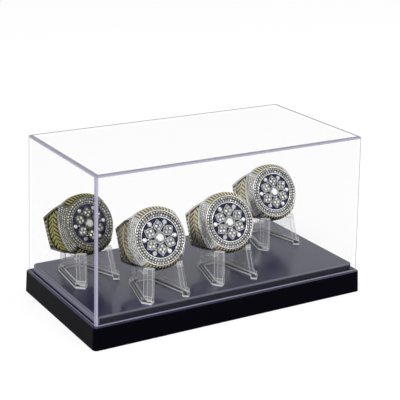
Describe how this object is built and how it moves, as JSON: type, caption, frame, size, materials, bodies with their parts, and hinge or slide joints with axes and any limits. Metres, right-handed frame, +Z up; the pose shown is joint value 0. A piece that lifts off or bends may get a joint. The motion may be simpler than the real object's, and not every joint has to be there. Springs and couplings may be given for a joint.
{
  "type": "collectibles display case",
  "caption": "Low rectangular display case: clear lift-off cover on a black base, with clear easel stands inside that each carry an award-style finger ring.",
  "frame": {"origin": "centre of the base's footprint, on the surface it stands on", "axes": "+X along the case's length to its right, +Y to its back, +Z up; the rings face -Y"},
  "size_m": [0.15, 0.0804, 0.0813],
  "materials": {
    "black_base": "moulded black styrene, semi-gloss",
    "clear_cover": "clear moulded acrylic, polished, faint lilac in its edges",
    "clear_stand": "clear moulded acrylic, polished",
    "ring_metal": "silver and pale gold plate, polished on the high places and dark in the recesses",
    "ring_enamel": "deep blue enamel, glossy",
    "ring_stones": "clear cut paste stones, foil backed"
  },
  "bodies": {
    "base": {"base_plinth": "black_base"},
    "cover": {"clear_cover": "clear_cover"},
    "stand_1": {"stand_1": "clear_stand"},
    "ring_1": {"ring_1_casting": "ring_metal", "ring_1_enamel": "ring_enamel", "ring_1_border_stones": "ring_stones", "ring_1_rosette_stones": "ring_stones"},
    "stand_2": {"stand_2": "clear_stand"},
    "ring_2": {"ring_2_casting": "ring_metal", "ring_2_enamel": "ring_enamel", "ring_2_border_stones": "ring_stones", "ring_2_rosette_stones": "ring_stones"},
    "stand_3": {"stand_3": "clear_stand"},
    "ring_3": {"ring_3_casting": "ring_metal", "ring_3_enamel": "ring_enamel", "ring_3_border_stones": "ring_stones", "ring_3_rosette_stones": "ring_stones"},
    "stand_4": {"stand_4": "clear_stand"},
    "ring_4": {"ring_4_casting": "ring_metal", "ring_4_enamel": "ring_enamel", "ring_4_border_stones": "ring_stones", "ring_4_rosette_stones": "ring_stones"}
  },
  "joints": [
    {"name": "cover_lift", "type": "slide", "parent": "base", "child": "cover", "axis": [0, 0, 1], "range_m": [0, 0.1]},
    {"name": "stand_1_lift", "type": "slide", "parent": "base", "child": "stand_1", "axis": [0, 0, 1], "range_m": [0, 0.008]},
    {"name": "ring_1_lift", "type": "slide", "parent": "stand_1", "child": "ring_1", "axis": [0, 0, 1], "range_m": [0, 0.013]},
    {"name": "stand_2_lift", "type": "slide", "parent": "base", "child": "stand_2", "axis": [0, 0, 1], "range_m": [0, 0.008]},
    {"name": "ring_2_lift", "type": "slide", "parent": "stand_2", "child": "ring_2", "axis": [0, 0, 1], "range_m": [0, 0.013]},
    {"name": "stand_3_lift", "type": "slide", "parent": "base", "child": "stand_3", "axis": [0, 0, 1], "range_m": [0, 0.008]},
    {"name": "ring_3_lift", "type": "slide", "parent": "stand_3", "child": "ring_3", "axis": [0, 0, 1], "range_m": [0, 0.013]},
    {"name": "stand_4_lift", "type": "slide", "parent": "base", "child": "stand_4", "axis": [0, 0, 1], "range_m": [0, 0.008]},
    {"name": "ring_4_lift", "type": "slide", "parent": "stand_4", "child": "ring_4", "axis": [0, 0, 1], "range_m": [0, 0.013]}
  ]
}
